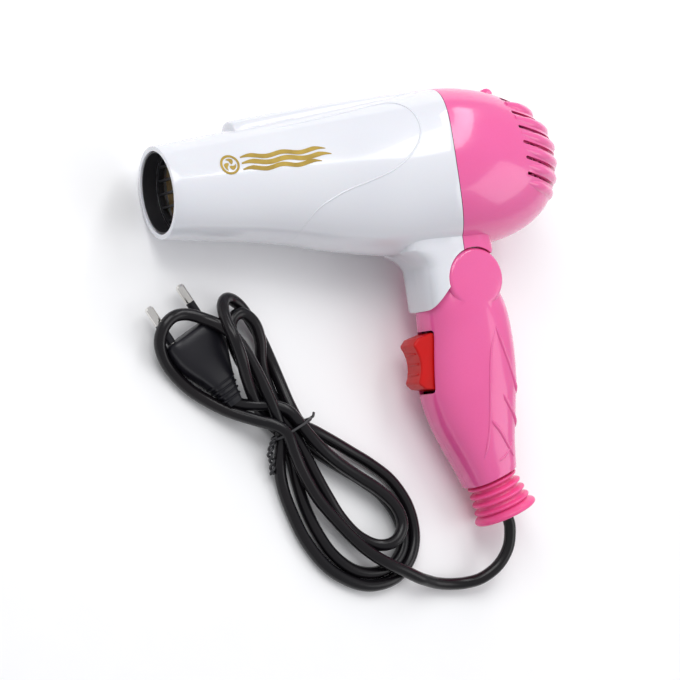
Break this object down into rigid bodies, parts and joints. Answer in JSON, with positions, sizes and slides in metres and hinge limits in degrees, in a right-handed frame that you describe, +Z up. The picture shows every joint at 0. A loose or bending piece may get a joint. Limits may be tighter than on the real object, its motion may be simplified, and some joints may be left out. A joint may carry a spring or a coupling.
{
  "type": "folding hair dryer",
  "caption": "Foldable travel hair dryer with a tapered barrel, louvred rear cap, rocker switch in the handle, tied mains lead and two-pin plug.",
  "frame": {"origin": "middle of the dryer's footprint on the table it lies on, without its cord", "axes": "+Z up from the table, +X from the nozzle to the rear, +Y away from the handle; the dryer lies on its side, on its nozzle rim, barrel and strain relief"},
  "size_m": [0.2023, 0.2222, 0.0669],
  "materials": {
    "white_shell": "glossy cool white moulded plastic",
    "pink_shell": "glossy translucent-looking pink moulded plastic",
    "pink_rubber": "soft hot-pink bellows",
    "red_plastic": "red rocker with a finely textured face",
    "black_plastic": "black moulded plastic",
    "black_cord": "glossy black PVC",
    "steel": "plated steel",
    "nickel": "bright nickel plate",
    "brass": "bare brass",
    "mica": "brown mica sheet",
    "heating_wire": "nichrome wire",
    "board": "green circuit board",
    "beige_plastic": "beige heat-resistant plastic"
  },
  "bodies": {
    "handle": {"handle_near_half": "pink_shell", "handle_far_half": "pink_shell", "handle_screw_1": "steel", "handle_screw_2": "steel", "hinge_pin": "steel", "hinge_washer_near": "steel", "hinge_washer_far": "steel", "rocker_pin": "steel", "switch_housing": "black_plastic", "switch_terminal_1": "brass", "switch_terminal_2": "brass", "switch_terminal_3": "brass", "switch_wires": "black_cord", "cord_clamp": "beige_plastic", "cord_tail": "black_cord", "strain_relief": "pink_rubber", "cord_lead": "black_cord", "cord_hank": "black_cord", "cord_tie": "black_plastic", "plug_body": "black_plastic", "plug_pin_left": "nickel", "plug_pin_right": "nickel", "pin_sleeve_left": "black_plastic", "pin_sleeve_right": "black_plastic"},
    "barrel": {"barrel_near_half": "white_shell", "barrel_far_half": "white_shell", "rear_cap": "pink_shell", "body_screw_1": "steel", "body_screw_2": "steel", "inlet_screen": "black_plastic", "motor_mount": "black_plastic", "motor_can": "steel", "motor_end_cap": "black_plastic", "motor_board": "board", "mica_liner": "mica", "mica_card_a": "mica", "mica_card_b": "mica", "heater_coil": "heating_wire", "thermostat": "steel", "thermal_fuse": "beige_plastic", "outlet_grille": "black_plastic", "heater_leads": "black_cord"},
    "fan": {"motor_shaft": "steel", "fan_impeller": "black_plastic"},
    "rocker": {"rocker_button": "red_plastic"}
  },
  "joints": [
    {"name": "handle_fold", "type": "hinge", "parent": "handle", "child": "barrel", "pos_m": [0.04405, 0.01165, 0.0274], "axis": [-0.0976, -0.1224, 0.9877], "range_deg": [-55, 0]},
    {"name": "fan_spin", "type": "hinge", "parent": "barrel", "child": "fan", "pos_m": [0.04791, 0.06196, 0.03402], "axis": [0.9952, 0, 0.0983], "continuous": true},
    {"name": "rocker_tilt", "type": "hinge", "parent": "handle", "child": "rocker", "pos_m": [0.02763, -0.022, 0.0216], "axis": [-0.0976, -0.1224, 0.9877], "range_deg": [-8, 8]}
  ]
}
